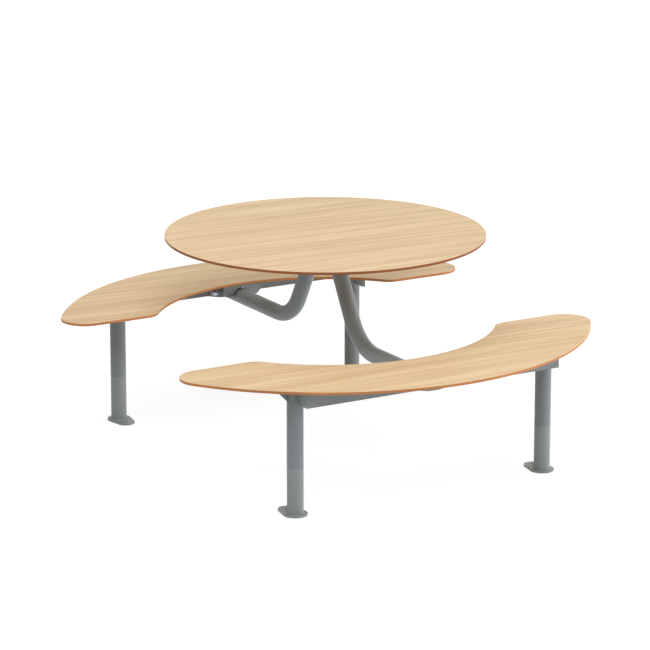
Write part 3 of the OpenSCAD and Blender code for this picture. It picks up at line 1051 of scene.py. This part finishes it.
def floor_material():
    """Pale and dull, with a glow of its own for the camera that grows with the distance."""
    material, tree, shader = blank_material("pale_floor")
    shader.inputs["Base Color"].default_value = floor_colour
    shader.inputs["Roughness"].default_value = 0.9
    shader.inputs["Specular IOR Level"].default_value = 0.0
    coordinates = add_node(tree, "ShaderNodeTexCoord")
    length = add_node(tree, "ShaderNodeVectorMath", operation="LENGTH")
    tree.links.new(coordinates.outputs["Object"], length.inputs[0])
    own = spread(tree, length.outputs["Value"], shadow_reach, white_from, own_share, 1.0)
    glow = add_node(tree, "ShaderNodeEmission")
    glow.inputs["Strength"].default_value = own_strength
    mix = add_node(tree, "ShaderNodeMixShader")
    output = tree.nodes["Material Output"]
    tree.links.new(math_node(tree, "MULTIPLY", is_seen(tree), own), mix.inputs["Fac"])
    tree.links.new(shader.outputs["BSDF"], mix.inputs[1])
    tree.links.new(glow.outputs["Emission"], mix.inputs[2])
    tree.links.new(mix.outputs["Shader"], output.inputs["Surface"])
    return material


floor_mesh = bpy.data.meshes.new("floor")
floor_mesh.from_pydata(
    [(-floor_half, -floor_half, 0), (floor_half, -floor_half, 0),
     (floor_half, floor_half, 0), (-floor_half, floor_half, 0)],
    [], [(0, 1, 2, 3)],
)
floor_mesh.materials.append(floor_material())
floor = bpy.data.objects.new("floor", floor_mesh)
bpy.context.scene.collection.objects.link(floor)
print("floor is", 2 * floor_half, "m wide")

# %% [markdown]
# The light is a quiet studio. A very wide soft lamp overhead lights the boards evenly and leaves
# the steel under them in soft shade. One above the camera fills that shade. Three low ones at
# the right make every tube grow lighter towards its right side, one at the left opens the shade
# on the left legs, and the floor throws light up under the boards. The six levels were balanced
# by rendering each lamp alone, because light adds up. A lamp's power for a given level grows
# with the square of its distance, so the function works it out. The low lamps are kept out of
# reflections: from the far side a flat board would mirror them and turn white.

# %% Light
world_level = 0.02
aim = Vector((0, 0, 0.4))


def soft_lamp(name, azimuth, height, distance, size, level, mirrored=True):
    """A square lamp that faces the object. At level 1 a surface facing it shows its colour."""
    turn, rise = math.radians(azimuth), math.radians(height)
    flat = math.cos(rise)
    towards = Vector((math.sin(turn) * flat, -math.cos(turn) * flat, math.sin(rise)))
    data = bpy.data.lights.new(name, "AREA")
    data.size = size
    data.energy = level * (math.pi * distance) ** 2
    lamp = bpy.data.objects.new(name, data)
    bpy.context.scene.collection.objects.link(lamp)
    lamp.visible_glossy = mirrored
    lamp.location = aim + distance * towards
    lamp.rotation_mode = "QUATERNION"
    lamp.rotation_quaternion = (-towards).to_track_quat("-Z", "Y")
    print(name, "has", round(data.energy), "W")


low_height = 10
low_distance = 5.0
low_size = 2.6
soft_lamp("overhead_lamp", azimuth=0, height=90, distance=5.0, size=6.0, level=0.70)
soft_lamp("front_lamp", azimuth=-30, height=42, distance=6.5, size=3.4, level=0.35)
soft_lamp("left_lamp", azimuth=-85, height=40, distance=3.5, size=1.6, level=0.16)
for name, azimuth, level in (
    ("low_lamp", 30, 0.13),
    ("right_lamp", 62, 0.45),
    ("side_lamp", 90, 0.25),
):
    soft_lamp(name, azimuth, low_height, low_distance, low_size, level, mirrored=False)

# %% [markdown]
# The world gives two answers: light of the chosen level to the surfaces, and plain white to the
# camera and to reflections.

# %% World
world = bpy.data.worlds.new("studio")
bpy.context.scene.world = world
world.use_nodes = True
sky = world.node_tree
surroundings = sky.nodes["Background"]
surroundings.inputs["Color"].default_value = (1, 1, 1, 1)
surroundings.inputs["Strength"].default_value = world_level
white = add_node(sky, "ShaderNodeBackground")
white.inputs["Color"].default_value = (1, 1, 1, 1)
white.inputs["Strength"].default_value = 1.0
choose = add_node(sky, "ShaderNodeMixShader")
sky.links.new(is_seen(sky), choose.inputs["Fac"])
sky.links.new(surroundings.outputs["Background"], choose.inputs[1])
sky.links.new(white.outputs["Background"], choose.inputs[2])
sky.links.new(choose.outputs["Shader"], sky.nodes["World Output"].inputs["Surface"])
bpy.context.scene.view_settings.view_transform = "Standard"
print("world level", world_level)
